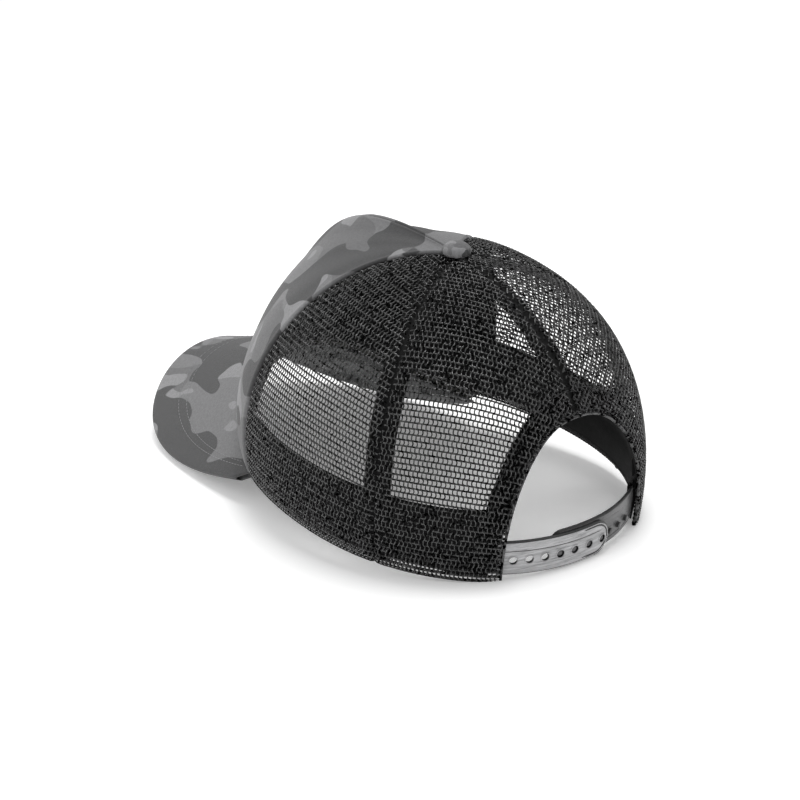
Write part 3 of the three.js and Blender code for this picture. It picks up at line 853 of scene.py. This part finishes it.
def visor_grid(rim_angle, thickness, rows=46, columns=150):
    """The visor's cloth from the crown to the rim and round part of the rim's half circle."""
    across = np.linspace(-VISOR_SPAN, VISOR_SPAN, columns)
    length = visor_length(across)
    flat = np.linspace(0, 1, rows)[:, None] * (1 - RIM_RADIUS / length)
    middle = (VISOR_TOP + VISOR_BOTTOM) / 2
    side = 1 if rim_angle > 0 else -1
    radius = RIM_RADIUS - thickness
    out = [flat + 0 * across]
    drop = [np.full((rows, columns), middle - side * radius)]
    for angle in np.linspace(0, abs(rim_angle), 9)[1:]:
        out.append((1 - (RIM_RADIUS - radius * math.sin(angle)) / length)[None, :])
        drop.append(np.full((1, columns), middle - side * radius * math.cos(angle)))
    out, drop = np.concatenate(out), np.concatenate(drop)
    return visor_point(across[None, :] + 0 * out, out, drop)


def visor():
    for name, node, angle, material in (
        ("visor_top_cloth", "visor_top_fabric", math.radians(96), CAMO_VISOR),
        ("visor_under_cloth", "visor_under_fabric", math.radians(-80), CAMO_UNDER),
    ):
        outer, inner = visor_grid(angle, 0.0)[0], visor_grid(angle, 0.8)[0]
        obj = make_mesh(name, *shell(outer, inner))
        finish_piece(obj, material, "cap", node, slot="camo_fabric")
    across = np.linspace(-VISOR_SPAN, VISOR_SPAN, 260)
    length = visor_length(across)
    lines = []
    for inset in (23.0, 29.5):
        out = 1 - inset / length
        keep = out > 0.02
        points, normals = visor_point(across[keep], out[keep], VISOR_TOP + 0 * out[keep])
        lines.append((points, normals))
    stitches("visor_stitches", lines, GREY_THREAD, length=2.2, gap=0.5, radius=0.14)


# ---- snap closure ---------------------------------------------------------------------------
STRAP_BOTTOM, STRAP_HEIGHT = 2.6, 16.0
HOLE_Z = 9.6
HOLE_FIRST, HOLE_STEP, HOLE_COUNT, HOLE_RADIUS = 154.6, 5.15, 7, 1.75
PEG_FIRST, PEG_COUNT = 3, 7          # the pegs start at this hole's place
PEG_PROFILE = [(1.55, 0.0), (1.32, 0.7), (1.22, 1.3), (1.34, 1.6), (1.3, 1.85), (0.95, 2.1), (0.02, 2.15)]
HOLE_STRAP_ROOT, HOLE_STRAP_END = 2.0, 188.4
PEG_STRAP_ROOT, PEG_STRAP_END = -1.4, 166.4
HOLE_STRAP_LAYERS, PEG_STRAP_LAYERS = (-1.7, -3.3), (-3.9, -5.3)


def strap_surface(start, end, lift, layers, lines, step):
    """A moulded strip between two depths, and which of its faces lie in its lines or on its edge, to be
    painted with shade.
    """
    outer_depth, inner_depth = layers
    columns, rows = 260, 84
    degrees = np.linspace(start, end, columns)[None, :]
    length = np.abs(end - degrees) * MM_PER_DEGREE
    half = STRAP_HEIGHT / 2
    s = np.clip(length / (half * 0.85), 0, 1)
    tall = half * np.sqrt(np.maximum(1 - (1 - s) ** 2, 0.0009))
    share = np.linspace(-1, 1, rows)[:, None]
    height = STRAP_BOTTOM + lift + half + share * tall
    place = (length + 0 * height, share * tall, tall + 0 * height)
    groove = lines(*place)
    face = groove + step(*place)
    rise = rise_at_height(degrees + 0 * height, height)
    outer = crown_at(degrees + 0 * height, rise, outer_depth + face)
    inner = crown_at(degrees + 0 * height, rise, inner_depth + 0 * face)
    points, faces = shell(outer, inner)
    middle = ((groove[1:, 1:] + groove[:-1, :-1]) / 2).ravel()
    # The sunk faces and the edge walls get painted shade; the inner face keeps the strap's colour.
    painted_shade_faces = np.ones(len(faces), bool)
    painted_shade_faces[:middle.size] = middle < -0.1
    painted_shade_faces[middle.size:2 * middle.size] = False
    return points, faces, painted_shade_faces


def edge_distance(length, z, tall):
    """Distance in from the strip's outline, near enough, in millimetres."""
    corner = STRAP_HEIGHT / 2
    past = np.maximum(corner - length, 0)
    return np.minimum(tall - np.abs(z), corner - np.hypot(past, z))


def hole_lines(length, z, tall):
    """The worn edge, the groove round the free end and the line along the strip; faces sunk in them get
    painted shade.
    """
    inset = edge_distance(length, z, tall)
    soft_edge = -0.5 * np.exp(-((np.maximum(inset, 0) / 0.45) ** 2))
    rim_groove = -0.4 * np.exp(-(((inset - 1.4) / 0.28) ** 2)) * smoothstep(16, 11, length)
    line = -0.3 * np.exp(-(((z - 3.4) / 0.26) ** 2)) * smoothstep(4, 8, length)
    return soft_edge + rim_groove + line


def hole_step(length, z, tall):
    """The field with the holes lies a little lower."""
    round_end = 5.4 - np.hypot(np.maximum(7.6 - length, 0), z + 2.0)
    return -0.25 * smoothstep(-0.3, 0.3, np.where(length < 7.6, np.minimum(3.4 - z, round_end), 3.4 - z))


def peg_lines(length, z, tall):
    inset = edge_distance(length, z, tall)
    soft_edge = -0.45 * np.exp(-((np.maximum(inset, 0) / 0.45) ** 2))
    return soft_edge - 0.3 * np.exp(-(((z + 5.2) / 0.3) ** 2))


def bar_object(name, degrees, radius, start, end, sides=28):
    """A round bar along the crown's normal at one place on the strap."""
    rise = float(rise_at_height(degrees, HOLE_Z))
    a, b = crown_at(degrees, rise, start), crown_at(degrees, rise, end)
    axis = unit(b - a)
    side = unit(np.cross(axis, (0.0, 0.0, 1.0)))
    up = np.cross(side, axis)
    turn = np.arange(sides) * 2 * np.pi / sides
    ring = radius * (np.cos(turn)[:, None] * side + np.sin(turn)[:, None] * up)
    points = np.concatenate([a + ring, b + ring])
    faces = list(grid_faces(2, sides, closed=True)) + [np.arange(sides)[::-1], np.arange(sides) + sides]
    return make_mesh(name, points, faces, smooth=False)


def cut(obj, tools, operation):
    """Applies a boolean of each tool to the object and removes the tool."""
    for tool in tools:
        modifier = obj.modifiers.new("cut", "BOOLEAN")
        modifier.operation = operation
        modifier.object = tool
        modifier.solver = "EXACT"
    depsgraph = bpy.context.evaluated_depsgraph_get()
    result = bpy.data.meshes.new_from_object(obj.evaluated_get(depsgraph))
    obj.modifiers.clear()
    obj.data = result
    for tool in tools:
        bpy.data.objects.remove(tool)


def hole_strap():
    start = CORNER - HOLE_STRAP_ROOT / MM_PER_DEGREE
    surface = strap_surface(start, HOLE_STRAP_END, 0.0, HOLE_STRAP_LAYERS, hole_lines, hole_step)
    points, faces, painted_shade_faces = surface
    obj = make_mesh("hole_strap_moulded", points, faces)
    two_finishes(obj, HOLE_STRAP_PAINTED_LIGHT, STRAP_PAINTED_SHADE, painted_shade_faces)
    places = [HOLE_FIRST + HOLE_STEP * i for i in range(HOLE_COUNT)]
    drills = [bar_object("drill", p, HOLE_RADIUS, 1.0, -6.0) for p in places]
    # The walls of the holes get painted shade.
    for drill in drills:
        two_finishes(drill, HOLE_STRAP_PAINTED_LIGHT, STRAP_PAINTED_SHADE, np.ones(len(drill.data.polygons)))
    cut(obj, drills, "DIFFERENCE")
    finish_piece(obj, None, "hole_strap", "hole_strap", slot="strap_plastic")
    lips = make_mesh("hole_lips", *joined([hole_lip(p) for p in places]))
    finish_piece(lips, HOLE_STRAP_PAINTED_LIGHT, "hole_strap", slot="strap_plastic")


def hole_lip(degrees):
    """The raised rounded ring round one hole."""
    rise = float(rise_at_height(degrees, HOLE_Z))
    centre = crown_at(degrees, rise, -1.95)
    normal = crown_normal(degrees, rise)
    side = unit(np.cross(normal, (0.0, 0.0, 1.0)))
    up = np.cross(side, normal)
    turn = np.linspace(0, 2 * np.pi, 33)
    ring = centre + (HOLE_RADIUS + 0.3) * (np.cos(turn)[:, None] * side + np.sin(turn)[:, None] * up)
    return tubes(ring[None], np.broadcast_to(normal, (1, 33, 3)), 0.34, 8)


def peg(degrees):
    rise = float(rise_at_height(degrees, HOLE_Z))
    base = crown_at(degrees, rise, -4.4)
    normal = crown_normal(degrees, rise)
    side = unit(np.cross(normal, (0.0, 0.0, 1.0)))
    up = np.cross(side, normal)
    turn = np.arange(20) * 2 * np.pi / 20
    around = np.cos(turn)[:, None] * side + np.sin(turn)[:, None] * up
    rings = np.stack([base + normal * h + around * r for r, h in PEG_PROFILE])
    return rings.reshape(-1, 3), grid_faces(len(PEG_PROFILE), 20, closed=True)


def peg_strap():
    start = 360 - CORNER - PEG_STRAP_ROOT / MM_PER_DEGREE
    surface = strap_surface(start, PEG_STRAP_END, 0.8, PEG_STRAP_LAYERS, peg_lines, lambda *place: 0.0)
    points, faces, painted_shade_faces = surface
    pegs = [peg(HOLE_FIRST + HOLE_STEP * i) for i in range(PEG_FIRST, PEG_FIRST + PEG_COUNT)]
    obj = make_mesh("peg_strap_moulded", *joined([(points, faces), *pegs]))
    # The peg's shank under its head gets painted shade; the head keeps the strap's colour.
    painted_shade_shank = np.repeat([1, 1, 1, 1, 0, 0], 20)
    two_finishes(obj, PEG_STRAP_PAINTED_SHADE, STRAP_PAINTED_SHADE, np.concatenate([painted_shade_faces, *[painted_shade_shank] * len(pegs)]))
    finish_piece(obj, None, "peg_strap", "peg_strap", slot="strap_plastic")


# ---- floor, light and camera ----------------------------------------------------------------
CAMERA_PLACE = Vector((0.5117, 0.7000, 0.3578))
CAMERA_AZIMUTH = math.radians(143.11)
CAMERA_ELEVATION = math.radians(20.48)
CAMERA_ROLL = math.radians(-3.64)
CAMERA_LENS = 90.07
FLOOR_GLOW, WORLD_LIGHT = 0.22, 0.55


def stage():
    mesh = bpy.data.meshes.new("floor")
    size = 6.0
    corners = [(-size, -size, 0), (size, -size, 0), (size, size, 0), (-size, size, 0)]
    mesh.from_pydata(corners, [], [(0, 1, 2, 3)])
    floor = bpy.data.objects.new("floor", mesh)
    bpy.context.collection.objects.link(floor)
    nodes = Nodes("floor_white", roughness=0.8, specular=0.1)
    nodes.colour(nodes.ramp(nodes.noise(3.0, 1.0), [(0.0, 0.93), (1.0, 0.95)]))
    nodes.shader.inputs["Emission Color"].default_value = (1.0, 1.0, 1.0, 1.0)
    nodes.shader.inputs["Emission Strength"].default_value = FLOOR_GLOW
    mesh.materials.append(nodes.material)


def area_light(name, place, aim, size, power):
    light = bpy.data.lights.new(name, "AREA")
    light.shape = "RECTANGLE"
    light.size, light.size_y = size
    light.energy = power
    obj = bpy.data.objects.new(name, light)
    obj.location = place
    obj.rotation_euler = (Vector(aim) - Vector(place)).to_track_quat("-Z", "Y").to_euler()
    bpy.context.collection.objects.link(obj)


def lights():
    world = bpy.data.worlds.new("studio")
    world.use_nodes = True
    background = world.node_tree.nodes["Background"]
    background.inputs["Color"].default_value = (1.0, 1.0, 1.0, 1.0)
    background.inputs["Strength"].default_value = WORLD_LIGHT
    bpy.context.scene.world = world
    aim = (0.0, 0.0, 0.05)
    area_light("overhead", (-0.45, -0.1, 2.3), aim, (1.1, 1.1), 32.0)
    area_light("near", (0.9, -0.2, 1.0), aim, (0.6, 0.6), 0.6)
    area_light("low_front", (0.1, -0.9, 0.3), (0.0, -0.05, 0.0), (1.6, 0.6), 4.0)


def camera():
    data = bpy.data.cameras.new("camera")
    data.lens = CAMERA_LENS
    data.sensor_width = 36.0
    obj = bpy.data.objects.new("camera", data)
    turn = Matrix.Rotation(CAMERA_AZIMUTH, 3, "Z") @ Matrix.Rotation(math.pi / 2 - CAMERA_ELEVATION, 3, "X")
    turn = turn @ Matrix.Rotation(CAMERA_ROLL, 3, "Z")
    obj.matrix_world = Matrix.Translation(CAMERA_PLACE) @ turn.to_4x4()
    bpy.context.collection.objects.link(obj)
    bpy.context.scene.camera = obj


def finish_cad_nodes():
    """Real finishes for the hard pieces whose CAD shape stays."""
    for node, material in (("button_shell", STEEL), ("button_rivet", STEEL), ("visor_board", BOARD)):
        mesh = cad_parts[node].data
        mesh.materials.clear()
        mesh.materials.append(material)


front_panel()
buckram()
build_nets()
for side, word in ((1, "left"), (-1, "right")):
    seam_tape(f"front_tape_{word}", f"front_seam_tape_{word}", lambda rise, s=side: s * front_seam(rise), 1.0)
    seam_tape(f"side_tape_{word}", f"side_seam_tape_{word}", lambda rise, s=side: s * side_seam(rise), 1.0)
seam_tape("back_tape", "centre_back_tape", back_seam, OPENING_HEIGHT + 12)
opening_tape()
opening_rim()
sweatband()
care_label()
button()
visor()
hole_strap()
peg_strap()
finish_cad_nodes()
stage()
lights()
camera()
bpy.context.scene.view_settings.view_transform = "Standard"
